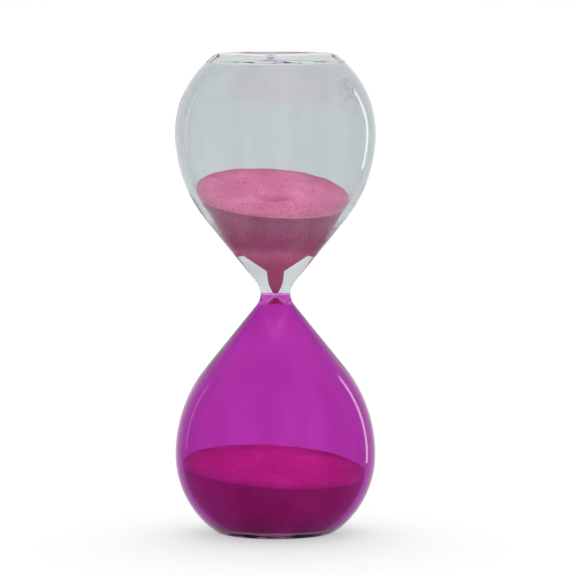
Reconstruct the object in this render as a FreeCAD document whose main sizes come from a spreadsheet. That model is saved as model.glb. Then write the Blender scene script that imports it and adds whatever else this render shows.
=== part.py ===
"""A free-standing hourglass: two blown glass bulbs fused at the neck, with sand sealed inside.

The frame has its origin where the axis meets the surface that the hourglass stands on, with +Z up
along the axis. The clear bulb is above, the coloured one below, and both have the same outside.
All lengths are in millimetres and all angles in degrees.
"""

import FreeCAD, Part

import os
from math import atan2, cos, degrees, radians, sin, sqrt, tan

import Sketcher

SIZES = {
    # outline of a bulb, with heights measured from the plane where the two necks are fused
    "bulb_length": 100.0,
    "widest_radius": 41.8,
    "widest_height": 67.2,
    "shoulder_arc": 39.9,
    "belly_arc": 58.3,
    "cone_angle": 39.0,
    "neck_radius": 6.2,
    "corner_arc": 3.9,
    "dish_radius": 17.0,
    "dish_depth": 0.8,
    # walls, which thin towards the neck, and the bore that joins the two hollows
    "wall": 2.9,
    "end_wall": 3.4,
    "inner_corner_arc": 4.0,
    "bore_radius": 0.8,
    # foot of the upper hollow: a sloping floor over a slender cup
    "upper_cone_angle": 34.5,
    "upper_floor_arc": 8.0,
    "upper_floor_angle": 53.0,
    "upper_floor_height": 10.6,
    "upper_mouth_arc": 0.8,
    "upper_funnel_angle": 3.0,
    "upper_cup_radius": 3.2,
    "upper_cup_height": 9.2,
    # foot of the lower hollow, which stays wide almost up to the neck
    "lower_cone_angle": 36.2,
    "lower_floor_arc": 2.5,
    "lower_floor_angle": 63.0,
    "lower_floor_height": 1.9,
    "lower_mouth_arc": 0.6,
    "lower_funnel_angle": 30.0,
    "lower_cup_radius": 0.9,
    "lower_cup_height": 0.9,
    # seal of the filling hole, in the end of the upper bulb
    "seal_radius": 2.5,
    "seal_offset": 2.0,
    "seal_nub": 0.5,
    "seal_drop": 1.4,
    # upper sand: its level on the axis above the neck, the tilt of its surface and its crater
    "upper_sand_level": 41.0,
    "upper_sand_tilt": 13.7,
    "upper_sand_heading": 107.9,
    "crater_depth": 4.8,
    "crater_slope": 28.0,
    "crater_reach": 18.0,
    # lower sand: the same, with the level measured down from the neck, and its mound
    "lower_sand_level": 72.4,
    "lower_sand_tilt": 7.1,
    "lower_sand_heading": 60.5,
    "mound_height": 6.0,
    "mound_slope": 29.0,
    "mound_reach": 15.0,
}

FOOT = (
    "cone_angle",
    "floor_arc",
    "floor_angle",
    "floor_height",
    "mouth_arc",
    "funnel_angle",
    "cup_radius",
    "cup_height",
)
START, END, CENTRE = 1, 2, 3
ORIGIN = (-1, START)
ACROSS, ALONG = -1, -2
UP = FreeCAD.Vector(0, 0, 1)


def make_sheet(doc):
    """Put every driving dimension in a cell of its own, under its name."""
    sheet = doc.addObject("Spreadsheet::Sheet", "Sizes")
    for row, (name, value) in enumerate(SIZES.items(), start=1):
        sheet.set(f"A{row}", name)
        sheet.set(f"B{row}", str(value))
        sheet.setAlias(f"B{row}", name)
    doc.recompute()
    return sheet


# Sketches. Each is drawn with x as the distance from the axis and y along it.


def point(x, y):
    return FreeCAD.Vector(x, y, 0)


def polar(centre, radius, angle):
    """The point at a radius and an angle from a centre."""
    return centre + point(radius * cos(radians(angle)), radius * sin(radians(angle)))


def bearing(start, end):
    """The angle of the direction from one point to another."""
    return degrees(atan2(end.y - start.y, end.x - start.x))


def new_sketch(body, name, plane="XZ_Plane"):
    """A sketch on one of the body's own origin planes."""
    sketch = body.newObject("Sketcher::SketchObject", name)
    origin_plane = next(f for f in body.Origin.OriginFeatures if f.Role == plane)
    sketch.AttachmentSupport = (origin_plane, [""])
    sketch.MapMode = "FlatFace"
    return sketch


def add_line(sketch, start, end):
    return sketch.addGeometry(Part.LineSegment(start, end), False)


def add_arc(sketch, centre, radius, from_angle, to_angle):
    """A counter-clockwise arc."""
    circle = Part.Circle(centre, UP, radius)
    arc = Part.ArcOfCircle(circle, radians(from_angle), radians(to_angle))
    return sketch.addGeometry(arc, False)


def tie(sketch, *constraint):
    sketch.addConstraint(Sketcher.Constraint(*constraint))


def join(sketch, first, second, kind="Coincident"):
    """Tie the ends that two neighbours share. A smooth joint is of the kind Tangent."""
    for one in (START, END):
        for other in (START, END):
            if sketch.getPoint(first, one).distanceToPoint(sketch.getPoint(second, other)) < 1e-4:
                tie(sketch, kind, first, one, second, other)
                return
    raise ValueError(f"{sketch.Label}: curves {first} and {second} don't meet")


def join_loop(sketch, curves, smooth):
    """Close a loop of curves. smooth holds each curve that runs on into the next with no corner."""
    for first, second in zip(curves, curves[1:] + curves[:1]):
        join(sketch, first, second, "Tangent" if first in smooth else "Coincident")


def bind(sketch, cell, kind, *where):
    """Dimension the sketch at the size drawn, and bind that dimension to a formula of the sheet."""
    curve = where[0]
    if kind == "Radius":
        drawn = sketch.Geometry[curve].Radius
    elif kind == "Angle":
        drawn = radians(bearing(sketch.getPoint(curve, START), sketch.getPoint(curve, END)))
    else:
        at = sketch.getPoint(*where)
        drawn = at.x if kind == "DistanceX" else at.y
        where = ORIGIN + where
    index = sketch.addConstraint(Sketcher.Constraint(kind, *where, drawn))
    sketch.setExpression(f"Constraints[{index}]", cell)


def shoulder_joint(centre_x, centre_y, shoulder, corner, end_height):
    """Centre of the corner arc that runs from a shoulder arc into a flat end."""
    rise = end_height - corner - centre_y
    return point(centre_x + sqrt((shoulder - corner) ** 2 - rise**2), end_height - corner)


def draw_outside(sketch, size):
    """Half outline of a bulb: neck, cone, belly, shoulder, and a flat ring round a shallow dish."""
    top = size.bulb_length
    belly = point(size.widest_radius - size.belly_arc, size.widest_height)
    shoulder = point(size.widest_radius - size.shoulder_arc, size.widest_height)
    corner = shoulder_joint(shoulder.x, shoulder.y, size.shoulder_arc, size.corner_arc, top)
    turn = bearing(shoulder, corner)
    cone_top = polar(belly, size.belly_arc, -size.cone_angle)
    slant = radians(size.cone_angle)
    inward = cos(slant) * (size.neck_radius - cone_top.x) + sin(slant) * cone_top.y
    neck_arc = inward / (1 - cos(slant))
    neck = point(size.neck_radius + neck_arc, 0)
    dish_arc = (size.dish_radius**2 + size.dish_depth**2) / (2 * size.dish_depth)
    dish = point(0, top - size.dish_depth + dish_arc)
    dish_turn = degrees(atan2(size.dish_radius, dish_arc - size.dish_depth))

    base_line = add_line(sketch, point(0, 0), point(size.neck_radius, 0))
    neck_curve = add_arc(sketch, neck, neck_arc, 180 - size.cone_angle, 180)
    cone = add_line(sketch, polar(neck, neck_arc, 180 - size.cone_angle), cone_top)
    belly_curve = add_arc(sketch, belly, size.belly_arc, -size.cone_angle, 0)
    shoulder_curve = add_arc(sketch, shoulder, size.shoulder_arc, 0, turn)
    corner_curve = add_arc(sketch, corner, size.corner_arc, turn, 90)
    ring = add_line(sketch, point(corner.x, top), point(size.dish_radius, top))
    dish_curve = add_arc(sketch, dish, dish_arc, 270, 270 + dish_turn)
    axis = add_line(sketch, point(0, top - size.dish_depth), point(0, 0))

    smooth = [neck_curve, cone, belly_curve, shoulder_curve, corner_curve]
    join_loop(sketch, [base_line, *smooth, ring, dish_curve, axis], set(smooth))
    tie(sketch, "Coincident", base_line, START, *ORIGIN)
    for line in (base_line, ring):
        tie(sketch, "Horizontal", line)
    tie(sketch, "Vertical", axis)
    tie(sketch, "PointOnObject", neck_curve, CENTRE, ACROSS)
    tie(sketch, "Horizontal", belly_curve, CENTRE, shoulder_curve, CENTRE)
    tie(sketch, "PointOnObject", dish_curve, CENTRE, ALONG)
    bind(sketch, "Sizes.neck_radius", "DistanceX", base_line, END)
    bind(sketch, "90 - Sizes.cone_angle", "Angle", cone)
    bind(sketch, "Sizes.belly_arc", "Radius", belly_curve)
    bind(sketch, "Sizes.shoulder_arc", "Radius", shoulder_curve)
    bind(sketch, "Sizes.corner_arc", "Radius", corner_curve)
    bind(sketch, "Sizes.widest_radius", "DistanceX", belly_curve, END)
    bind(sketch, "Sizes.widest_height", "DistanceY", belly_curve, END)
    bind(sketch, "Sizes.bulb_length", "DistanceY", ring, END)
    bind(sketch, "Sizes.dish_radius", "DistanceX", ring, END)
    bind(sketch, "Sizes.bulb_length - Sizes.dish_depth", "DistanceY", dish_curve, START)


def arc_between(near, near_normal, far, far_normal, radius):
    """Centre of the arc that runs from one straight into another. Both normals point to its side."""
    near_level = near.dot(near_normal) + radius
    far_level = far.dot(far_normal) + radius
    area = near_normal.x * far_normal.y - near_normal.y * far_normal.x
    x = (near_level * far_normal.y - far_level * near_normal.y) / area
    y = (near_normal.x * far_level - far_normal.x * near_level) / area
    return point(x, y)


def draw_hollow(sketch, size, half):
    """Half outline of a bulb's hollow: cup over the bore, funnel, floor, cone, belly and end.

    half is upper or lower. The angles of cone, floor and funnel are of their normals below level.
    """
    cone_angle, floor_arc, floor_angle, floor_height, mouth_arc, funnel_angle, cup_radius, cup_height = (
        getattr(size, f"{half}_{name}") for name in FOOT
    )
    top = size.bulb_length - size.end_wall
    belly_arc = size.belly_arc - size.wall
    shoulder_arc = size.shoulder_arc - size.wall
    belly = point(size.widest_radius - size.belly_arc, size.widest_height)
    shoulder = point(size.widest_radius - size.shoulder_arc, size.widest_height)
    corner = shoulder_joint(shoulder.x, shoulder.y, shoulder_arc, size.inner_corner_arc, top)
    turn = bearing(shoulder, corner)
    cone_top = polar(belly, belly_arc, -cone_angle)

    narrowing = cup_radius - size.bore_radius
    cup_arc = (narrowing**2 + cup_height**2) / (2 * narrowing)
    cup = point(cup_radius - cup_arc, cup_height)
    cup_lip = point(cup_radius, cup_height)

    funnel_out, floor_out, cone_out = (
        polar(point(0, 0), 1, -angle) for angle in (funnel_angle, floor_angle, cone_angle)
    )
    mouth_y = floor_height + floor_out.y * mouth_arc
    below_mouth = (cup_height - mouth_y) * funnel_out.y
    mouth = point(cup_radius + (mouth_arc + below_mouth) / funnel_out.x, mouth_y)
    floor_foot = mouth - floor_out * mouth_arc
    floor = arc_between(floor_foot, -floor_out, cone_top, -cone_out, floor_arc)

    bore = add_line(sketch, point(0, 0), point(size.bore_radius, 0))
    cup_curve = add_arc(sketch, cup, cup_arc, bearing(cup, point(size.bore_radius, 0)), 0)
    funnel = add_line(sketch, cup_lip, mouth - funnel_out * mouth_arc)
    mouth_curve = add_arc(sketch, mouth, mouth_arc, 180 - floor_angle, 180 - funnel_angle)
    floor_line = add_line(sketch, floor_foot, floor + floor_out * floor_arc)
    floor_curve = add_arc(sketch, floor, floor_arc, -floor_angle, -cone_angle)
    cone = add_line(sketch, floor + cone_out * floor_arc, cone_top)
    belly_curve = add_arc(sketch, belly, belly_arc, -cone_angle, 0)
    shoulder_curve = add_arc(sketch, shoulder, shoulder_arc, 0, turn)
    corner_curve = add_arc(sketch, corner, size.inner_corner_arc, turn, 90)
    end = add_line(sketch, point(corner.x, top), point(0, top))
    axis = add_line(sketch, point(0, top), point(0, 0))

    smooth = [funnel, mouth_curve, floor_line, floor_curve, cone, belly_curve, shoulder_curve, corner_curve]
    join_loop(sketch, [bore, cup_curve, *smooth, end, axis], set(smooth))
    tie(sketch, "Coincident", bore, START, *ORIGIN)
    for line in (bore, end):
        tie(sketch, "Horizontal", line)
    tie(sketch, "Vertical", axis)
    tie(sketch, "Horizontal", cup_curve, CENTRE, cup_curve, END)
    tie(sketch, "Horizontal", belly_curve, CENTRE, shoulder_curve, CENTRE)
    bind(sketch, "Sizes.bore_radius", "DistanceX", bore, END)
    bind(sketch, f"Sizes.{half}_cup_radius", "DistanceX", cup_curve, END)
    bind(sketch, f"Sizes.{half}_cup_height", "DistanceY", cup_curve, END)
    bind(sketch, f"90 - Sizes.{half}_funnel_angle", "Angle", funnel)
    bind(sketch, f"Sizes.{half}_mouth_arc", "Radius", mouth_curve)
    bind(sketch, f"Sizes.{half}_floor_height", "DistanceY", floor_line, START)
    bind(sketch, f"90 - Sizes.{half}_floor_angle", "Angle", floor_line)
    bind(sketch, f"Sizes.{half}_floor_arc", "Radius", floor_curve)
    bind(sketch, f"90 - Sizes.{half}_cone_angle", "Angle", cone)
    bind(sketch, "Sizes.belly_arc - Sizes.wall", "Radius", belly_curve)
    bind(sketch, "Sizes.shoulder_arc - Sizes.wall", "Radius", shoulder_curve)
    bind(sketch, "Sizes.widest_radius - Sizes.wall", "DistanceX", belly_curve, END)
    bind(sketch, "Sizes.widest_height", "DistanceY", belly_curve, END)
    bind(sketch, "Sizes.inner_corner_arc", "Radius", corner_curve)
    bind(sketch, "Sizes.bulb_length - Sizes.end_wall", "DistanceY", end, END)


def draw_upper_hollow(sketch, size):
    draw_hollow(sketch, size, "upper")


def draw_lower_hollow(sketch, size):
    draw_hollow(sketch, size, "lower")


# Sub-parts. Each is drawn from the plane of the neck, with its own bulb's end upwards.


def new_body(doc, label):
    body = doc.addObject("PartDesign::Body", label)
    body.Label = label
    return body


def revolve(body, kind, name, draw, size):
    """Turn a half outline into a round solid, or a round cut, about the body's axis."""
    sketch = new_sketch(body, name + "_outline")
    draw(sketch, size)
    body.Document.recompute()
    feature = body.newObject(kind, name)
    feature.Profile = sketch
    feature.ReferenceAxis = (sketch, ["V_Axis"])
    feature.Angle = 360
    body.Document.recompute()
    return feature


def make_bulb(doc, label, draw, size):
    """A blown bulb with half of the fused neck: a round solid with its hollow cut out."""
    body = new_body(doc, label)
    solid = revolve(body, "PartDesign::Revolution", "Blank", draw_outside, size)
    hollow = revolve(body, "PartDesign::Groove", "Hollow", draw, size)
    print(f"{label}: glass {hollow.Shape.Volume / 1000:.1f} cm3 of {solid.Shape.Volume / 1000:.1f}")
    return body


def cut(body, name, sketch, depth, reverse=False):
    """Cut a sketch into the body, against the sketch's normal or, reversed, along it."""
    before = body.Shape.Volume
    pocket = body.newObject("PartDesign::Pocket", name)
    pocket.Profile = sketch
    pocket.Reversed = reverse
    pocket.setExpression("Length", depth)
    body.Document.recompute()
    taken = before - body.Shape.Volume
    if taken <= 0:
        raise ValueError(f"{name} takes nothing off {body.Label}")
    print(f"{body.Label}: {name} takes {taken / 1000:.2f} cm3")


def drill_filling_hole(body, size):
    """The hole in the end wall through which the sand was poured in."""
    sketch = new_sketch(body, "Filling_hole_outline", "XY_Plane")
    sketch.AttachmentOffset = FreeCAD.Placement(UP * size.bulb_length, FreeCAD.Rotation())
    sketch.setExpression("AttachmentOffset.Base.z", "Sizes.bulb_length")
    centre = point(-size.seal_offset, 0)
    circle = sketch.addGeometry(Part.Circle(centre, UP, size.seal_radius), False)
    tie(sketch, "PointOnObject", circle, CENTRE, ACROSS)
    bind(sketch, "Sizes.seal_radius", "Radius", circle)
    bind(sketch, "-Sizes.seal_offset", "DistanceX", circle, CENTRE)
    cut(body, "Filling_hole", sketch, "2 * Sizes.end_wall")


def draw_seal(sketch, size):
    """Half outline of the melted seal: a drop inside, the filling hole's wall, a nub outside."""
    edge = size.seal_radius
    bottom = -size.end_wall
    top = -size.dish_depth
    drop_arc = (edge**2 + size.seal_drop**2) / (2 * size.seal_drop)
    nub_arc = (edge**2 + size.seal_nub**2) / (2 * size.seal_nub)
    drop_centre = point(0, bottom - size.seal_drop + drop_arc)
    nub_centre = point(0, top + size.seal_nub - nub_arc)
    drop_turn = bearing(drop_centre, point(edge, bottom))
    nub_turn = bearing(nub_centre, point(edge, top))

    drop = add_arc(sketch, drop_centre, drop_arc, -90, drop_turn)
    side = add_line(sketch, point(edge, bottom), point(edge, top))
    nub = add_arc(sketch, nub_centre, nub_arc, nub_turn, 90)
    axis = add_line(sketch, point(0, top + size.seal_nub), point(0, bottom - size.seal_drop))

    join_loop(sketch, [drop, side, nub, axis], set())
    tie(sketch, "Vertical", side)
    tie(sketch, "PointOnObject", axis, START, ALONG)
    for curve in (drop, nub):
        tie(sketch, "PointOnObject", curve, CENTRE, ALONG)
    bind(sketch, "Sizes.seal_radius", "DistanceX", side, START)
    bind(sketch, "-Sizes.end_wall", "DistanceY", side, START)
    bind(sketch, "-Sizes.dish_depth", "DistanceY", side, END)
    bind(sketch, "Sizes.seal_nub - Sizes.dish_depth", "DistanceY", nub, END)
    bind(sketch, "-Sizes.end_wall - Sizes.seal_drop", "DistanceY", drop, START)


def make_seal(doc, size):
    """The glass that closes the filling hole, drawn from the end of the bulb."""
    body = new_body(doc, "fill_seal")
    revolve(body, "PartDesign::Revolution", "Seal", draw_seal, size)
    return body


def draw_cone(sketch, name, level, height, size):
    """Half outline of a cone on the axis, with its tip towards the neck."""
    slope = getattr(size, name + "_slope")
    reach = getattr(size, name + "_reach")
    tip = getattr(size, level) - getattr(size, height)
    top = tip + reach * tan(radians(slope))

    side = add_line(sketch, point(0, tip), point(reach, top))
    lid = add_line(sketch, point(reach, top), point(0, top))
    axis = add_line(sketch, point(0, top), point(0, tip))

    join_loop(sketch, [side, lid, axis], set())
    tie(sketch, "Horizontal", lid)
    tie(sketch, "Vertical", axis)
    tie(sketch, "PointOnObject", side, START, ALONG)
    bind(sketch, f"Sizes.{name}_slope", "Angle", side)
    bind(sketch, f"Sizes.{name}_reach", "DistanceX", side, END)
    bind(sketch, f"Sizes.{level} - Sizes.{height}", "DistanceY", side, START)


def level_sand(body, name, size, reverse):
    """Cut the sand off at a level that leans, as it settles in a glass that was tipped."""
    heading = radians(getattr(size, name + "_heading"))
    level = getattr(size, name + "_level")
    hinge = FreeCAD.Vector(sin(heading), -cos(heading), 0)
    tilt = FreeCAD.Rotation(hinge, getattr(size, name + "_tilt"))
    sketch = new_sketch(body, "Level_outline", "XY_Plane")
    sketch.AttachmentOffset = FreeCAD.Placement(UP * level, tilt)
    sketch.setExpression("AttachmentOffset.Base.z", f"Sizes.{name}_level")
    sketch.setExpression("AttachmentOffset.Rotation.Angle", f"Sizes.{name}_tilt")
    circle = sketch.addGeometry(Part.Circle(point(0, 0), UP, size.bulb_length), False)
    tie(sketch, "Coincident", circle, CENTRE, *ORIGIN)
    bind(sketch, "Sizes.bulb_length", "Radius", circle)
    cut(body, "Level", sketch, "Sizes.bulb_length", reverse)


def make_upper_sand(doc, size):
    """Sand that fills the cup and the cone, with a crater where it has begun to drain."""
    body = new_body(doc, "upper_sand")
    revolve(body, "PartDesign::Revolution", "Filling", draw_upper_hollow, size)
    level_sand(body, "upper_sand", size, reverse=True)

    def draw_crater(sketch, size):
        draw_cone(sketch, "crater", "upper_sand_level", "crater_depth", size)

    revolve(body, "PartDesign::Groove", "Crater", draw_crater, size)
    return body


def make_lower_sand(doc, size):
    """Sand that has run through, with a mound under the neck."""
    body = new_body(doc, "lower_sand")
    revolve(body, "PartDesign::Revolution", "Filling", draw_lower_hollow, size)
    level_sand(body, "lower_sand", size, reverse=False)

    def draw_mound(sketch, size):
        draw_cone(sketch, "mound", "lower_sand_level", "mound_height", size)

    revolve(body, "PartDesign::Revolution", "Mound", draw_mound, size)
    return body


def place(body, height, turned=False):
    """Stand a sub-part at a height on the axis, the right way up or turned over."""
    body.Placement = FreeCAD.Placement(FreeCAD.Vector(), FreeCAD.Rotation(point(1, 0), 180 * turned))
    body.setExpression("Placement.Base.z", height)


def check(doc, bodies):
    """Stop unless every object is up to date and every sub-part is one whole solid."""
    for item in doc.Objects:
        if "Invalid" in item.State or "Error" in item.State:
            raise ValueError(f"{item.Name} is {item.State}")
    for body in bodies:
        if body.Shape.isNull() or not body.Shape.isValid() or len(body.Shape.Solids) != 1:
            raise ValueError(f"{body.Label} is not a whole solid")
        print(f"{body.Label}: {body.Shape.Volume / 1000:.2f} cm3")


def main():
    doc = FreeCAD.newDocument("Hourglass")
    size = make_sheet(doc)

    upper_bulb = make_bulb(doc, "upper_bulb", draw_upper_hollow, size)
    drill_filling_hole(upper_bulb, size)
    lower_bulb = make_bulb(doc, "lower_bulb", draw_lower_hollow, size)
    fill_seal = make_seal(doc, size)
    upper_sand = make_upper_sand(doc, size)
    lower_sand = make_lower_sand(doc, size)

    place(upper_bulb, "Sizes.bulb_length")
    place(upper_sand, "Sizes.bulb_length")
    place(lower_bulb, "Sizes.bulb_length", turned=True)
    place(lower_sand, "Sizes.bulb_length", turned=True)
    place(fill_seal, "2 * Sizes.bulb_length")
    fill_seal.setExpression("Placement.Base.x", "-Sizes.seal_offset")
    doc.recompute()

    bodies = [upper_bulb, lower_bulb, fill_seal, upper_sand, lower_sand]
    check(doc, bodies)
    os.makedirs("parts", exist_ok=True)
    for body in bodies:
        body.Shape.exportStep(f"parts/{body.Label}.step")


main()
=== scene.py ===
# %% [markdown]
# # A glass hourglass
# Two blown bulbs are fused at a narrow neck, one clear and one magenta, and pink sand is sealed
# inside. The CAD model gives the sizes. Here each piece gets a smooth mesh of its own, because glass
# shows every facet in what it bends, and a finish made from nodes.

# %% Load the frame
from bisect import bisect
from collections import namedtuple
from math import asin, atan2, cos, hypot, pi, radians, sin, sqrt, tan
from random import Random

import bmesh
import bpy
from mathutils import Euler, Matrix, Vector, noise


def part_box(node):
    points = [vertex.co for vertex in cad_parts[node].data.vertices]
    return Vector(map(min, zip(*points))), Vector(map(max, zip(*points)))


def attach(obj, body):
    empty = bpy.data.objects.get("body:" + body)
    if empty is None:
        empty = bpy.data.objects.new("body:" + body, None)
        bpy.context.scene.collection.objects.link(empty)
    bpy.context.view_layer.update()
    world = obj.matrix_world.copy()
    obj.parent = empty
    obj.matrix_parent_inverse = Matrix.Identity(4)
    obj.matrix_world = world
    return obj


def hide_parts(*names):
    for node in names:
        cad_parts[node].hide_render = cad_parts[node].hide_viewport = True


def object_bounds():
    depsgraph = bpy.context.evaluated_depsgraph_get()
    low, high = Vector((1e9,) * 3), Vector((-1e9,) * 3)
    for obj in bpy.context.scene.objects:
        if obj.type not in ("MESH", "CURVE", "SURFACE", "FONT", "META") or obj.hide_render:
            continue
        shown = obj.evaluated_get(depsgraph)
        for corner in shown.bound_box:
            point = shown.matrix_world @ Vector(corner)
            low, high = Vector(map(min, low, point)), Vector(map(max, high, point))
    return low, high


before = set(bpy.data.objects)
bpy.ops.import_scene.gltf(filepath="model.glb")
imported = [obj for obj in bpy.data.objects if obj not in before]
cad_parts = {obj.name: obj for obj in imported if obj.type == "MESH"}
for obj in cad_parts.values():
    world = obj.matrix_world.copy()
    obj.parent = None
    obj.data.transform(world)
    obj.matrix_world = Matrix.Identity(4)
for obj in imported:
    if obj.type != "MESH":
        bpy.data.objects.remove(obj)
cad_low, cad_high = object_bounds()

scene = bpy.context.scene
mm = 0.001
print("CAD box", [round(size / mm, 1) for size in cad_high - cad_low], "mm")

# %% [markdown]
# ## Sizes
# The frame gives the height of the neck and the length of a bulb. The other sizes repeat the CAD
# model's, so that each skin lies on its solid: a long belly arc, a tighter shoulder arc and small
# corners. Heights are measured from the plane of the neck, so that one outline serves both bulbs.

# %% Sizes of the glass
upper_low, upper_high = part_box("upper_bulb")
neck_z = upper_low.z
bulb_length = upper_high.z - upper_low.z
widest_radius = 41.8 * mm
widest_height = 67.2 * mm
shoulder_arc = 39.9 * mm
belly_arc = 58.3 * mm
corner_arc = 3.9 * mm
cone_angle = radians(39)
neck_radius = 6.2 * mm
dish_radius = 17.0 * mm
dish_depth = 0.8 * mm
wall = 2.9 * mm
end_wall = 3.4 * mm
inner_corner_arc = 4.0 * mm
bore_radius = 0.8 * mm
seal_radius = 2.5 * mm
seal_offset = 2.0 * mm
around = 192  # faces round every ring
print("bulb", round(bulb_length / mm, 2), "mm long, neck at", round(neck_z / mm, 2), "mm")

# %% [markdown]
# ## The hollows
# The two bulbs match on the outside, but their hollows differ at the foot. The clear bulb's floor
# slopes to a slender cup in thick glass, and the magenta bulb's wall stays thin almost up to the neck.
# The same few values describe both, so that one function draws either. Angles are from the axis, and
# the cup has a radius and a height.

# %% Sizes of the hollows
Hollow = namedtuple("Hollow", "cone_angle floor_arc floor_angle floor_height mouth_arc funnel_angle cup")
upper_hollow = Hollow(
    cone_angle=radians(34.5),
    floor_arc=8.0 * mm,
    floor_angle=radians(53),
    floor_height=10.6 * mm,
    mouth_arc=0.8 * mm,
    funnel_angle=radians(3),
    cup=(3.2 * mm, 9.2 * mm),
)
lower_hollow = Hollow(
    cone_angle=radians(36.2),
    floor_arc=2.5 * mm,
    floor_angle=radians(63),
    floor_height=1.9 * mm,
    mouth_arc=0.6 * mm,
    funnel_angle=radians(30),
    cup=(0.9 * mm, 0.9 * mm),
)
print("cups", [round(hollow.cup[0] / mm, 1) for hollow in (upper_hollow, lower_hollow)], "mm")

# %% [markdown]
# ## Where the glass changes
# A bulb isn't the same all over. The clear bulb starts with a thick neck, the magenta one with the stub
# that was melted onto it, and each ends in a thick ring. The necks and the clear ring bend light less
# than the rest. A full bend would fill the neck with magnified sand and the ring with dark bands.
# Between the two contact heights the sand settles onto the glass, and the film of air between them ends.
# The level of the upper sand and its crater stand here too, because the sand's finish is darkened there as
# painted shade.

# %% Heights where a finish changes
solid_height = 17 * mm
joint_height = 4 * mm
rim_height = bulb_length - 3.6 * mm
contact_low = 23 * mm
contact_high = 33 * mm
upper_level = neck_z + 41.0 * mm
crater_depth = 4.8 * mm
print("upper sand stands", round((upper_level - neck_z) / mm, 1), "mm above the neck")

# %% [markdown]
# ## Camera
# A long lens from a little above the middle, as for a catalogue: far away, so that the two ends show
# almost as flat lines. A small shift frames the glass without turning the camera.

# %% Camera
camera_rise = radians(5.3)
camera_distance = 2.2
view_width = 0.240
sensor_width = 36
framing_shift = (0.0217, 0.0097)
middle = (cad_low + cad_high) / 2
camera = bpy.data.objects.new("camera", bpy.data.cameras.new("camera"))
scene.collection.objects.link(camera)
camera.location = middle + camera_distance * Vector((0, -cos(camera_rise), sin(camera_rise)))
camera.rotation_euler = (pi / 2 - camera_rise, 0, 0)
camera.data.sensor_width = sensor_width
camera.data.lens = sensor_width * camera_distance / view_width
camera.data.shift_x, camera.data.shift_y = framing_shift
camera.data.clip_end = 50
scene.camera = camera
print("lens", round(camera.data.lens), "mm")

# %% [markdown]
# ## Node helper
# Shaders are written as sums. A small class wraps a socket, so that plain Python operators add the
# maths nodes, and one method adds any other node.


# %% Shader helper
class Socket:
    """A value in a node tree, with the usual operators."""

    def __init__(self, tree, output):
        self.tree = tree
        self.output = output

    def maths(self, operation, one, other):
        return node(self.tree, "ShaderNodeMath", {"operation": operation}, {0: one, 1: other})[0]

    def __add__(self, other):
        return self.maths("ADD", self, other)

    def __radd__(self, other):
        return self.maths("ADD", other, self)

    def __sub__(self, other):
        return self.maths("SUBTRACT", self, other)

    def __rsub__(self, other):
        return self.maths("SUBTRACT", other, self)

    def __mul__(self, other):
        return self.maths("MULTIPLY", self, other)

    def __rmul__(self, other):
        return self.maths("MULTIPLY", other, self)

    def __pow__(self, other):
        return self.maths("POWER", self, other)


def node(tree, kind, settings=None, sockets=None):
    """Add a node. Settings come first, then each socket takes a value or a link."""
    made = tree.nodes.new(kind)
    for name, value in (settings or {}).items():
        if name == "stops":
            ramp = made.color_ramp
            while len(ramp.elements) < len(value):
                ramp.elements.new(1)
            for element, (place, colour) in zip(ramp.elements, value):
                element.position = place
                element.color = colour
        else:
            setattr(made, name, value)
    for name, value in (sockets or {}).items():
        if isinstance(value, Socket):
            tree.links.new(value.output, made.inputs[name])
        else:
            made.inputs[name].default_value = value
    return [Socket(tree, output) for output in made.outputs]


def link(value, socket):
    """Plug a value into a shader's own socket."""
    value.tree.links.new(value.output, socket)


# %% [markdown]
# ## Light
# White glassware stands in a white surround. Glass shows that surround by what passes through it. It
# mirrors a room that is dim in front and white behind, so that only its rims mirror white. Sand and
# floor, which scatter light, get most of it from above and behind, so that the top of the sand is
# bright and its sides are deep. One world does all three, by asking how each ray got there. Light
# that is caught in a thick wall needs many bounces, or it would end as a black patch.

# %% World
scene.view_settings.view_transform = "Standard"
most_bounces = 48
scene.cycles.max_bounces = most_bounces
scene.cycles.transmission_bounces = most_bounces
scene.cycles.transparent_max_bounces = most_bounces
scene.cycles.glossy_bounces = 24
scene.cycles.diffuse_bounces = 4

world = bpy.data.worlds.new("white_surround")
scene.world = world
world.use_nodes = True
world.cycles.sampling_method = "NONE"
seen_through = 1.0
mirrored_ahead = 0.09
mirror_narrowing = 6
felt_level = 0.62
felt_above = 4.5
felt_narrowing = 1.5
felt_overhead = 0.55
felt_behind = 1.9
world_tree = world.node_tree
ray = world_tree.nodes.new("ShaderNodeLightPath")
rays = {output.name: Socket(world_tree, output) for output in ray.outputs}
direction = node(world_tree, "ShaderNodeSeparateXYZ", {}, {0: node(world_tree, "ShaderNodeTexCoord")[0]})
upward, backward = (
    node(world_tree, "ShaderNodeMath", {"operation": "MAXIMUM"}, {0: direction[axis], 1: 0.0})[0]
    for axis in (2, 1)
)
sky = upward**felt_narrowing * (felt_overhead + felt_behind * backward)
felt = felt_level + (felt_above - felt_level) * sky
mirrored = mirrored_ahead + (seen_through - mirrored_ahead) * backward**mirror_narrowing
depth = {0: rays["Diffuse Depth"], 1: 1.0}
scattered = node(world_tree, "ShaderNodeMath", {"operation": "MINIMUM"}, depth)[0]
clean = seen_through + (mirrored - seen_through) * rays["Is Reflection Ray"]
link(clean + scattered * (felt - clean), world_tree.nodes["Background"].inputs["Strength"])
world_tree.nodes["Background"].inputs["Color"].default_value = (1, 1, 1, 1)
print("world", len(world_tree.nodes), "nodes")

# %% [markdown]
# ## Lamps
# Two tall strips behind the glass draw the long streaks near its rims. They are only mirrored: if they
# also lit the sand or shone through the walls, the sides of the sand would turn pale.


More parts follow.
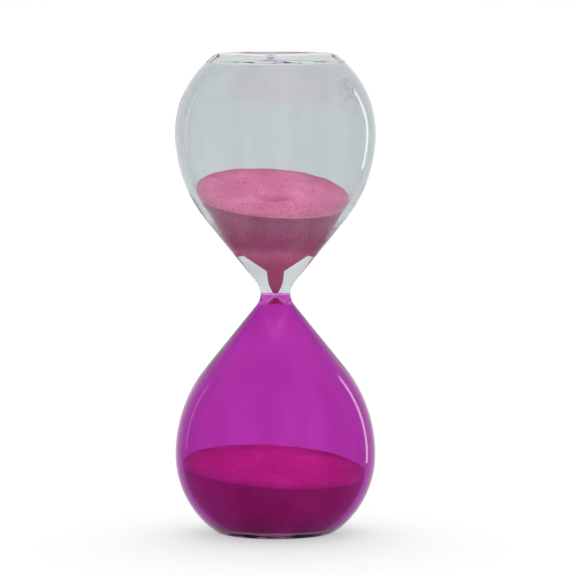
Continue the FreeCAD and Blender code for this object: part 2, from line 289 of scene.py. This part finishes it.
# %% Lamps
def add_lamp(name, place, aim, width, height, radiance):
    """A flat lamp at a place, turned to an aim, as bright all over as radiance says."""
    light = bpy.data.lights.new(name, "AREA")
    light.shape = "RECTANGLE"
    light.size = width
    light.size_y = height
    light.energy = radiance * pi * width * height
    lamp = bpy.data.objects.new(name, light)
    scene.collection.objects.link(lamp)
    lamp.location = place
    lamp.rotation_euler = (Vector(aim) - Vector(place)).to_track_quat("-Z", "Y").to_euler()
    lamp.visible_diffuse = False
    lamp.visible_transmission = False
    print(name, round(light.energy, 2), "W")


def toward(azimuth, distance, height):
    """A place round the object: azimuth 0 is the camera's side and 90 the right."""
    turn = radians(azimuth)
    return Vector((distance * sin(turn), -distance * cos(turn), height))


add_lamp("right_strip", toward(129, 1.1, 0.22), middle, width=0.1, height=0.75, radiance=3.0)
add_lamp("left_strip", toward(-124, 1.3, 0.3), middle, width=0.06, height=0.7, radiance=0.9)

# %% [markdown]
# ## Finishes
# Glass is tinted where light crosses its skin, so that a ray that only grazes the wall keeps more of
# its light than one that crosses both walls, and the rim of a bulb shows lighter than its middle. The
# magenta skin is deepened again at its edge, where light runs a long way through coloured glass. The
# ring at the magenta bulb's foot is darkened as painted shade, for the shadowed floor seen through it.


# %% Bare material
def new_material(name):
    """A material with a bare Principled shader."""
    material = bpy.data.materials.new(name)
    material.use_nodes = True
    return material, material.node_tree, material.node_tree.nodes["Principled BSDF"]


# %% Glass
streak_scale = (70, 70, 9)
grazing_narrowing = 2.5


def glass(name, pale, deep, wave, bend=1.5, edge=0.0, dimples=45.0):
    """Blown glass, with long faint streaks between two tints and a wavy skin.

    wave is how high its waves are, and dimples how fine. edge is how much deeper its tint is where
    light grazes it and crosses more glass.
    """
    material, tree, shader = new_material(name)
    place = node(tree, "ShaderNodeTexCoord")[3]
    drawn_out = node(tree, "ShaderNodeMapping", {}, {"Vector": place, "Scale": streak_scale})[0]
    streaks = node(tree, "ShaderNodeTexNoise", {}, {"Vector": drawn_out, "Scale": 1.0, "Detail": 4.0})[0]
    stops = [(0.35, (*deep, 1)), (0.7, (*pale, 1))]
    tint = node(tree, "ShaderNodeValToRGB", {"stops": stops}, {"Fac": streaks})[0]
    grazing = node(tree, "ShaderNodeLayerWeight", {}, {"Blend": 0.5})[1] ** grazing_narrowing
    kept = {0: tint, "Scale": 1.0 - grazing * edge}
    shade = node(tree, "ShaderNodeVectorMath", {"operation": "SCALE"}, kept)[0]
    link(shade, shader.inputs["Base Color"])
    swell = node(tree, "ShaderNodeTexNoise", {}, {"Vector": place, "Scale": dimples, "Detail": 1.5})[0]
    bump = node(tree, "ShaderNodeBump", {}, {"Height": swell, "Strength": 1.0, "Distance": wave})[0]
    link(bump, shader.inputs["Normal"])
    shader.inputs["Roughness"].default_value = 0
    shader.inputs["IOR"].default_value = bend
    shader.inputs["Transmission Weight"].default_value = 1
    print(name, "bends light by", bend)
    return material


# %% Clear glasses
clear_skin = glass("clear_skin", (0.61, 0.66, 0.675), (0.55, 0.60, 0.62), 0.15 * mm)
clear_lining = glass("clear_lining", (0.97, 0.97, 0.97), (0.92, 0.93, 0.93), 0.4 * mm)
clear_neck = glass(
    "clear_neck", (0.74, 0.77, 0.78), (0.54, 0.59, 0.60), 0.2 * mm, bend=1.1, dimples=140.0
)
clear_rim = glass("clear_rim", (0.68, 0.72, 0.73), (0.60, 0.65, 0.66), 0.3 * mm, bend=1.04)
seal_glass = glass("seal_glass", (0.42, 0.45, 0.46), (0.26, 0.28, 0.30), 0.3 * mm)

# %% Magenta glasses
magenta_skin = glass("magenta_skin", (0.485, 0.046, 0.45), (0.39, 0.031, 0.365), 0.15 * mm, edge=0.6)
# Painted shade: the foot ring gets a darker, greyer tint, for the shadowed floor seen through the thick
# base.
magenta_foot_shade = glass("magenta_foot_shade", (0.36, 0.13, 0.31), (0.22, 0.08, 0.19), 0.3 * mm)
magenta_neck = glass(
    "magenta_neck", (0.68, 0.095, 0.63), (0.42, 0.035, 0.39), 0.3 * mm, bend=1.2, dimples=140.0
)
magenta_lining = glass("magenta_lining", (1.0, 0.85, 1.0), (0.96, 0.72, 0.96), 0.4 * mm)


# %% Contact with the sand
def touch_sand(material, low, high):
    """Fade a lining out below a height, where the sand lies on the glass with no air between."""
    tree = material.node_tree
    height = node(tree, "ShaderNodeSeparateXYZ", {}, {0: node(tree, "ShaderNodeTexCoord")[3]})[2]
    span = {"Value": height, "From Min": low, "From Max": high}
    apart = node(tree, "ShaderNodeMapRange", {"interpolation_type": "SMOOTHSTEP"}, span)[0]
    link(apart, tree.nodes["Principled BSDF"].inputs["Alpha"])
    print(material.name, "fades out below", round(high / mm), "mm")


touch_sand(clear_lining, neck_z + contact_low, neck_z + contact_high)

# %% [markdown]
# ## Fused joint
# Light crosses the place where two pieces of glass are melted together without bending. A shader that
# only lets light through stands for it, so that nothing of the joint shows.

# %% Fused joint
fused, fused_tree, fused_shader = new_material("fused_joint")
see_through = fused_tree.nodes.new("ShaderNodeBsdfTransparent")
fused_tree.links.new(see_through.outputs[0], fused_tree.nodes["Material Output"].inputs["Surface"])
fused_tree.nodes.remove(fused_shader)
print(fused.name, "is see-through")

# %% [markdown]
# ## Sand
# Each grain has its own tone, from a pattern of small cells, with finer specks and wide clouds over
# them. The sand is darkened as painted shade in the crater, for the shade of its sunken slopes, and in
# the throat, where little light reaches it.


# %% Sand masks
def axis_mask(place, height, inner, outer):
    """A mask round a point on the axis: 1 within the inner radius, falling to 0 at the outer one."""
    points = {0: place, 1: (0, 0, height)}
    away = node(place.tree, "ShaderNodeVectorMath", {"operation": "DISTANCE"}, points)[1]
    fall = {"Value": away, "From Min": inner, "From Max": outer, "To Min": 1.0, "To Max": 0.0}
    return node(place.tree, "ShaderNodeMapRange", {}, fall)[0]


# %% Sand finish
deep_pink = (0.60, 0.11, 0.25, 1)
middle_pink = (0.80, 0.19, 0.38, 1)
pale_pink = (0.93, 0.34, 0.54, 1)
grain_bump = 0.3 * mm


def sand_finish():
    """Pink sand, as grains of different tones with a little relief, darkened as painted shade in the
    crater and the throat.
    """
    material, tree, shader = new_material("pink_sand")
    place = node(tree, "ShaderNodeTexCoord")[3]
    grains = node(tree, "ShaderNodeTexVoronoi", {}, {"Vector": place, "Scale": 2600.0})
    cell = node(tree, "ShaderNodeSeparateXYZ", {}, {0: grains[1]})[0]
    cloud = node(tree, "ShaderNodeTexNoise", {}, {"Vector": place, "Scale": 60.0, "Detail": 3.0})[0]
    speck = node(tree, "ShaderNodeTexNoise", {}, {"Vector": place, "Scale": 1500.0, "Detail": 2.0})[0]
    # Painted shade: the sand is darkened round the bottom of the crater, for the shade of its sunken
    # slopes.
    crater_shade = axis_mask(place, upper_level - crater_depth, 4 * mm, 11 * mm)
    # Painted shade: the sand is darkened round the throat, where little light reaches it.
    throat_shade = axis_mask(place, neck_z + 7 * mm, 8 * mm, 19 * mm)
    tone = cell * 0.12 + speck * 0.4 + cloud * 0.48 - crater_shade * 0.36 - throat_shade * 0.2
    stops = [(0.3, deep_pink), (0.5, middle_pink), (0.7, pale_pink)]
    colour = node(tree, "ShaderNodeValToRGB", {"stops": stops}, {"Fac": tone})[0]
    link(colour, shader.inputs["Base Color"])
    shader.inputs["Roughness"].default_value = 0.85
    shader.inputs["Specular IOR Level"].default_value = 0.25
    relief = {"Height": grains[0], "Strength": 0.3, "Distance": grain_bump}
    link(node(tree, "ShaderNodeBump", {}, relief)[0], shader.inputs["Normal"])
    print(material.name, len(tree.nodes), "nodes")
    return material


pink_sand = sand_finish()

# %% [markdown]
# ## Drawing with spin
# A blown bulb is round, so its half outline is drawn once and spun about the axis. The outline itself
# is drawn the same way: one vertex is pulled along straight stretches and spun about the centre of
# each arc, so the arcs are true and meet without a corner.


# %% Outline helper
class Outline:
    """A half outline in the XZ plane, drawn in a mesh of its own by pulling one vertex along."""

    def __init__(self, x, z):
        self.mesh = bmesh.new()
        self.tip = self.mesh.verts.new((x, 0, z))

    def line(self, x, z, steps=1):
        """Pull the tip along a straight stretch."""
        start = self.tip.co.copy()
        for step in range(1, steps + 1):
            pulled = bmesh.ops.extrude_vert_indiv(self.mesh, verts=[self.tip])
            self.tip = pulled["verts"][0]
            self.tip.co = start.lerp(Vector((x, 0, z)), step / steps)
        return self

    def arc(self, centre, turn, steps):
        """Turn the tip about a centre, counter-clockwise in the XZ plane."""
        about = Vector((centre[0], 0, centre[1]))
        spun = bmesh.ops.spin(
            self.mesh, geom=[self.tip], cent=about, axis=(0, -1, 0), angle=turn, steps=steps
        )
        self.tip = next(v for v in spun["geom_last"] if isinstance(v, bmesh.types.BMVert))
        return self

    def spin(self, finish=0):
        """Spin the outline about the axis into a round skin, and give back its mesh."""
        drawn = [*self.mesh.verts, *self.mesh.edges]
        turn = {"axis": (0, 0, 1), "angle": 2 * pi, "steps": around, "use_merge": True}
        bmesh.ops.spin(self.mesh, geom=drawn, cent=(0, 0, 0), **turn)
        bmesh.ops.remove_doubles(self.mesh, verts=self.mesh.verts, dist=1e-6)
        for face in self.mesh.faces:
            face.material_index = finish
        return self.mesh


def weld(*skins):
    """Join round skins at the rings that they share into one mesh."""
    whole = bmesh.new()
    for skin in skins:
        copy = bpy.data.meshes.new("skin")
        skin.to_mesh(copy)
        skin.free()
        whole.from_mesh(copy)
        bpy.data.meshes.remove(copy)
    bmesh.ops.remove_doubles(whole, verts=whole.verts, dist=1e-6)
    return whole


def new_piece(name, mesh, *materials):
    """Turn a finished bmesh into a smooth piece that rides on the glass's one body."""
    bmesh.ops.recalc_face_normals(mesh, faces=mesh.faces)
    data = bpy.data.meshes.new(name)
    mesh.to_mesh(data)
    mesh.free()
    data.shade_smooth()
    for material in materials:
        data.materials.append(material)
    piece = bpy.data.objects.new(name, data)
    scene.collection.objects.link(piece)
    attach(piece, "root")
    print(name, len(data.polygons), "faces")
    return piece


# %% [markdown]
# ## The outline of a bulb
# These few centres fix the whole shape. The belly and shoulder arcs meet at the widest place, the
# cone is the belly arc's tangent, and the corner and neck arcs are fitted between their neighbours.
# Arcs that bend much light get many steps.

# %% Centres of the arcs
corner_steps = 10
belly_steps = 36
cone_steps = 16
belly = (widest_radius - belly_arc, widest_height)
shoulder = (widest_radius - shoulder_arc, widest_height)


def corner_centre(arc, corner, end):
    """Centre of the small arc from a shoulder arc into a flat end, and the shoulder's turn to it."""
    rise = end - corner - shoulder[1]
    across = sqrt((arc - corner) ** 2 - rise**2)
    return (shoulder[0] + across, end - corner), atan2(rise, across)


dish_arc = (dish_radius**2 + dish_depth**2) / (2 * dish_depth)
dish_z = bulb_length - dish_depth + dish_arc


def end_height(outside):
    """Height of the end at the seal, on the outside or in the hollow."""
    return dish_z - sqrt(dish_arc**2 - seal_radius**2) if outside else bulb_length - end_wall


def on_belly(arc, slant):
    """Where the belly arc runs into a cone at some slant from the axis."""
    return Vector((belly[0] + arc * cos(slant), belly[1] - arc * sin(slant)))


cone_x, cone_z = on_belly(belly_arc, cone_angle)
neck_arc = (cos(cone_angle) * (neck_radius - cone_x) + sin(cone_angle) * cone_z) / (1 - cos(cone_angle))
print("neck arc", round(neck_arc / mm, 2), "mm")


def draw_outside():
    """From the seal over the end, the shoulder and the belly to the middle of the neck."""
    corner, turn = corner_centre(shoulder_arc, corner_arc, bulb_length)
    start = asin(seal_radius / dish_arc)
    finish = asin(dish_radius / dish_arc)
    outline = Outline(seal_radius, end_height(True))
    outline.arc((0, dish_z), finish - start, corner_steps)
    outline.line(corner[0], bulb_length, 4)
    outline.arc(corner, turn - pi / 2, corner_steps)
    outline.arc(shoulder, -turn, belly_steps)
    outline.arc(belly, -cone_angle, belly_steps)
    outline.line(neck_radius + neck_arc * (1 - cos(cone_angle)), neck_arc * sin(cone_angle), cone_steps)
    outline.arc((neck_radius + neck_arc, 0), cone_angle, cone_steps)
    outline.tip.co = (neck_radius, 0, 0)
    return outline


def arc_between(near, near_normal, far, far_normal, radius):
    """Centre of the arc from one straight into another. Both normals point to its side."""
    near_level = near.dot(near_normal) + radius
    far_level = far.dot(far_normal) + radius
    area = near_normal.cross(far_normal)
    x = (near_level * far_normal.y - far_level * near_normal.y) / area
    y = (near_normal.x * far_level - far_normal.x * near_level) / area
    return Vector((x, y))


def draw_hollow(hollow):
    """The hollow's wall from the seal over the belly and the floor to the cup and the bore."""
    end = bulb_length - end_wall
    corner, turn = corner_centre(shoulder_arc - wall, inner_corner_arc, end)
    cone_foot = on_belly(belly_arc - wall, hollow.cone_angle)
    slants = (hollow.cone_angle, hollow.floor_angle, hollow.funnel_angle)
    cone_out, floor_out, funnel_out = (Vector((cos(slant), -sin(slant))) for slant in slants)
    cup_radius, cup_height = hollow.cup
    mouth_z = hollow.floor_height + floor_out.y * hollow.mouth_arc
    below_mouth = (cup_height - mouth_z) * funnel_out.y
    mouth = Vector((cup_radius + (hollow.mouth_arc + below_mouth) / funnel_out.x, mouth_z))
    floor_foot = mouth - floor_out * hollow.mouth_arc
    floor = arc_between(floor_foot, -floor_out, cone_foot, -cone_out, hollow.floor_arc)
    narrowing = cup_radius - bore_radius
    cup_arc = (narrowing**2 + cup_height**2) / (2 * narrowing)

    outline = Outline(seal_radius, end)
    outline.line(corner[0], end, 6)
    outline.arc(corner, turn - pi / 2, corner_steps)
    outline.arc(shoulder, -turn, belly_steps)
    outline.arc(belly, -hollow.cone_angle, belly_steps)
    outline.line(*(floor + cone_out * hollow.floor_arc), cone_steps)
    outline.arc(floor, hollow.cone_angle - hollow.floor_angle, corner_steps)
    outline.line(*floor_foot, 4)
    outline.arc(mouth, hollow.floor_angle - hollow.funnel_angle, 8)
    outline.line(cup_radius, cup_height, 6)
    outline.arc((cup_radius - cup_arc, cup_height), -asin(cup_height / cup_arc), 12)
    outline.tip.co = (bore_radius, 0, 0)
    return outline


# %% [markdown]
# ## The bulbs
# Each bulb is a closed skin: the outside, the lining of the hollow, and the joints where it is fused to
# the next piece of glass. Skins are spun one by one and welded at their shared rings, because a spin is
# slow on a mesh that has grown. The outside is then given its neck and its ring by height.

# %% Skins of a bulb
SKIN, LINING, JOINT, NECK, RING = range(5)


def draw_bulb(hollow, *ends):
    """A bulb with its neck at the origin and its end upwards. ends are the skins at its seal."""
    seam = Outline(bore_radius, 0).line(neck_radius, 0)
    return weld(draw_outside().spin(SKIN), draw_hollow(hollow).spin(LINING), seam.spin(JOINT), *ends)


def lid(outside, finish):
    """A skin of the end, from the seal's place on to the axis, for a bulb with no filling hole."""
    height = end_height(outside)
    return Outline(seal_radius, height).line(0, height, 3).spin(finish)


def hole_wall(finish):
    """The wall of the filling hole."""
    return Outline(seal_radius, end_height(True)).line(seal_radius, end_height(False)).spin(finish)


def mark_outside(bulb, neck_height):
    """Give the outside its neck up to a height, and its ring at the end."""
    for face in bulb.faces:
        height = face.calc_center_median().z
        if face.material_index == SKIN and height < neck_height:
            face.material_index = NECK
        elif face.material_index == SKIN and height > rim_height:
            face.material_index = RING
    print("neck up to", round(neck_height / mm, 1), "mm")


# %% [markdown]
# The clear bulb was filled through a hole in its end, a little off the middle. The rings of the end are
# drawn round the axis and then eased over to it, the inner ones most.

# %% Clear bulb
clear = draw_bulb(upper_hollow, hole_wall(JOINT))
mark_outside(clear, solid_height)
for vert in clear.verts:
    radius = hypot(vert.co.x, vert.co.y)
    if vert.co.z > bulb_length - 2 * end_wall and radius < dish_radius:
        vert.co.x -= seal_offset * (dish_radius - radius) / (dish_radius - seal_radius)
bmesh.ops.translate(clear, verts=clear.verts, vec=(0, 0, neck_z))
upper_bulb = new_piece("clear_bulb", clear, clear_skin, clear_lining, fused, clear_neck, clear_rim)
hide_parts("upper_bulb")

# %% Magenta bulb
magenta = draw_bulb(lower_hollow, lid(True, SKIN), lid(False, LINING))
mark_outside(magenta, joint_height)
bmesh.ops.rotate(magenta, verts=magenta.verts, cent=(0, 0, 0), matrix=Matrix.Rotation(pi, 3, "X"))
bmesh.ops.translate(magenta, verts=magenta.verts, vec=(0, 0, neck_z))
# The ring at the foot takes the painted shade of the magenta foot.
magenta_glasses = (magenta_skin, magenta_lining, fused, magenta_neck, magenta_foot_shade)
lower_bulb = new_piece("magenta_bulb", magenta, *magenta_glasses)
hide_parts("lower_bulb")

# %% [markdown]
# ## The seal
# The hole is closed with a drop of glass, domed a little outside and hanging lower inside. It fills
# the hole, so it is spun like the bulbs: two domes and the wall between them.

# %% Seal
seal_nub = 0.5 * mm
seal_drop = 1.4 * mm
seal_skin, seal_joint = range(2)


def dome(outside, height, steps):
    """A domed skin over one end of the filling hole, as high as height says."""
    start = end_height(outside)
    arc = (seal_radius**2 + height**2) / (2 * abs(height))
    way = 1 if height > 0 else -1
    centre = (0, start + height - way * arc)
    outline = Outline(seal_radius, start).arc(centre, way * asin(seal_radius / arc), steps)
    outline.tip.co.x = 0
    return outline.spin(seal_skin)


seal = weld(dome(True, seal_nub, 8), dome(False, -seal_drop, 12), hole_wall(seal_joint))
bmesh.ops.translate(seal, verts=seal.verts, vec=(-seal_offset, 0, neck_z))
fill_seal = new_piece("melted_seal", seal, seal_glass, fused)
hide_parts("fill_seal")

# %% [markdown]
# ## The sand
# Sand takes the shape of the glass below its surface, and the surface leans as it settled when the
# glass was last tipped. Where it has begun to run it forms a crater above the neck and a mound below,
# both cones at the slope where grains just stop sliding. The skin is spun like the glass, and its
# rings are then moved: those of the side up or down the wall, and those of the top onto the surface.

# %% Wall of the hollow
def wall_of(hollow):
    """The radius of a hollow at a height from the neck, between the points of its outline."""
    probe = draw_hollow(hollow).mesh
    points = sorted((vert.co.z, vert.co.x) for vert in probe.verts if vert.co.z < bulb_length - end_wall)
    probe.free()

    def radius_at(height):
        after = min(max(bisect(points, (height, 0)), 1), len(points) - 1)
        (low, near), (high, far) = points[after - 1 : after + 1]
        return near + (far - near) * (height - low) / (high - low)

    return radius_at


upper_wall = wall_of(upper_hollow)
lower_wall = wall_of(lower_hollow)
print("upper hollow is", round(2 * upper_wall(widest_height) / mm, 1), "mm wide")

# %% Sand surface helpers
clearance = 0.06 * mm
wide_ripple = 0.22 * mm
fine_ripple = 0.05 * mm


def slope_of(tilt, heading):
    """Rise of a leaning surface per unit along X and Y."""
    return tan(radians(tilt)) * cos(radians(heading)), tan(radians(tilt)) * sin(radians(heading))


def blend_max(one, other, soft):
    """The larger of two heights, with their meeting line rounded over."""
    return (one + other + sqrt((one - other) ** 2 + soft**2)) / 2


def ripple(x, y, seed):
    """The small unevenness of a sand surface."""
    wide = noise.noise(Vector((x * 120, y * 120, seed)))
    fine = noise.noise(Vector((x * 900, y * 900, seed + 5)))
    return wide_ripple * wide + fine_ripple * fine


# %% Body of sand
def make_sand(floor_z, level, radius_at, surface, side_rings, top_rings):
    """A body of sand from a floor up to a surface, inside a wall given by its radius at a height.

    The surface and the wall meet where each height gives the other's radius, found by repeating.
    """
    edge = []
    for column in range(around):
        turn = 2 * pi * column / around
        height = level
        for _ in range(30):
            radius = radius_at(height) - clearance
            height = surface(radius * cos(turn), radius * sin(turn))
        edge.append((height, radius_at(height) - clearance))

    half_ring = 0.5 / side_rings
    mesh = Outline(0, -1).line(1, -1, 4).line(1, 0, side_rings).line(0, 0, top_rings).spin()
    for vert in mesh.verts:
        share = hypot(vert.co.x, vert.co.y)
        turn = atan2(vert.co.y, vert.co.x)
        edge_height, edge_radius = edge[round(turn / (2 * pi) * around) % around]
        rise = vert.co.z + 1
        if rise < half_ring:
            height = floor_z
            radius = share * (radius_at(floor_z) - clearance)
        elif rise < 1 - half_ring:
            height = floor_z + (edge_height - floor_z) * rise
            radius = radius_at(height) - clearance
        else:
            radius = share * edge_radius
            height = surface(radius * cos(turn), radius * sin(turn))
        vert.co = (radius * cos(turn), radius * sin(turn), height)
    return mesh


# %% Upper sand
upper_lean = slope_of(13.7, 107.9)
crater_slope = tan(radians(28))
crater_bottom = 0.8 * mm
crater_lip = 0.5 * mm


def upper_radius(z):
    """The upper hollow's radius at a height."""
    return upper_wall(z - neck_z)


def upper_surface(x, y):
    """A leaning plane with a crater over the neck."""
    plane = upper_level + upper_lean[0] * x + upper_lean[1] * y
    crater = upper_level - crater_depth + crater_slope * hypot(x, y, crater_bottom)
    return -blend_max(-plane, -crater, crater_lip) + ripple(x, y, 1)


upper_fill = make_sand(neck_z + 0.2 * mm, upper_level, upper_radius, upper_surface, 90, 90)
upper_sand = new_piece("upper_sand_bed", upper_fill, pink_sand)
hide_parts("upper_sand")

# %% Lower sand
lower_level = neck_z - 72.4 * mm
lower_lean = slope_of(7.1, 119.5)
mound_height = 6.0 * mm
mound_slope = tan(radians(29))
mound_top = 1.0 * mm
mound_foot = 0.6 * mm


def lower_radius(z):
    """The lower hollow's radius at a height."""
    return lower_wall(neck_z - z)


def lower_surface(x, y):
    """A leaning plane with a mound under the neck."""
    plane = lower_level + lower_lean[0] * x + lower_lean[1] * y
    mound = lower_level + mound_height - mound_slope * hypot(x, y, mound_top)
    return blend_max(plane, mound, mound_foot) + ripple(x, y, 9)


lower_fill = make_sand(end_wall + clearance, lower_level, lower_radius, lower_surface, 70, 90)
lower_sand = new_piece("lower_sand_bed", lower_fill, pink_sand)
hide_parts("lower_sand")

# %% [markdown]
# ## Loose grains
# Sand is never quite level with itself: single grains stand proud of the surface and catch the light.
# A few also cling to the inside of the clear bulb, most of them in one patch at the shoulder where
# they were thrown when the glass was turned. Each is an icosphere of 20 faces, squashed and turned
# its own way. They are made in small batches, because an operator is slow on a mesh that has grown.

# %% Grain helper
chance = Random(11)


def grain(mesh, place, size):
    """One grain at a place."""
    turn = Euler([chance.uniform(0, 2 * pi) for _ in range(3)])
    shape = Vector([size * chance.uniform(0.7, 1.2) for _ in range(3)])
    pose = Matrix.LocRotScale(place, turn, shape)
    bmesh.ops.create_icosphere(mesh, subdivisions=1, radius=1, matrix=pose)


def new_grains(name, places, size, batch=60):
    """Grains at many places, as one piece."""
    batches = []
    for start in range(0, len(places), batch):
        batches.append(bmesh.new())
        for place in places[start : start + batch]:
            grain(batches[-1], place, size * chance.uniform(0.6, 1.3))
    grains = new_piece(name, weld(*batches), pink_sand)
    return grains


# %% Grains on the sand
grain_count = 2600
grain_size = 0.16 * mm
grain_lift = 0.05 * mm
edge_margin = 0.6 * mm


def on_surface(surface, radius_at, level):
    """Places spread evenly over a sand surface, almost out to where it meets the wall."""
    places = []
    while len(places) < grain_count:
        turn = chance.uniform(0, 2 * pi)
        share = sqrt(chance.random())
        height = level
        for _ in range(12):
            edge = radius_at(height)
            height = surface(edge * cos(turn), edge * sin(turn))
        radius = share * (edge - edge_margin)
        x, y = radius * cos(turn), radius * sin(turn)
        places.append(Vector((x, y, surface(x, y) + grain_lift)))
    return places


new_grains("upper_grains", on_surface(upper_surface, upper_radius, upper_level), grain_size)
new_grains("lower_grains", on_surface(lower_surface, lower_radius, lower_level), grain_size)

# %% Grains on the glass
patch_count = 170
dust_count = 110


def on_glass(turn, height):
    """A place on the inside of the clear bulb. Turn 0 is the camera's side and pi / 2 the right."""
    radius = upper_wall(height) - 0.2 * mm
    return Vector((radius * sin(turn), -radius * cos(turn), neck_z + height))


patch_turn = radians(54), radians(8)
patch_height = 85, 3.5
dust_heights = 56, 92
patch = [on_glass(chance.gauss(*patch_turn), chance.gauss(*patch_height) * mm) for _ in range(patch_count)]
dust = [on_glass(chance.uniform(0, 2 * pi), chance.uniform(*dust_heights) * mm) for _ in range(dust_count)]
new_grains("clinging_grains", patch, 0.16 * mm)
new_grains("scattered_grains", dust, 0.13 * mm)

# %% [markdown]
# ## The floor
# A wide pale disc takes the soft shadow. It glows a little of itself, so that it is as white as the
# surround. The glass doesn't mirror it, because its image would lie over the sand as a white veil.

# %% Floor
floor_grey = 0.21
floor_glow = 0.5
floor_finish, _, floor_shader = new_material("pale_floor")
floor_shader.inputs["Base Color"].default_value = (floor_grey, floor_grey, floor_grey, 1)
floor_shader.inputs["Roughness"].default_value = 0.9
floor_shader.inputs["Emission Color"].default_value = (1, 1, 1, 1)
floor_shader.inputs["Emission Strength"].default_value = floor_glow
ground = bmesh.new()
bmesh.ops.create_circle(ground, cap_ends=True, radius=6, segments=96)
ground_data = bpy.data.meshes.new("floor")
ground.to_mesh(ground_data)
ground.free()
ground_data.materials.append(floor_finish)
floor = bpy.data.objects.new("floor", ground_data)
scene.collection.objects.link(floor)
floor.visible_glossy = False
print("floor", round(floor.dimensions.x, 1), "m wide")
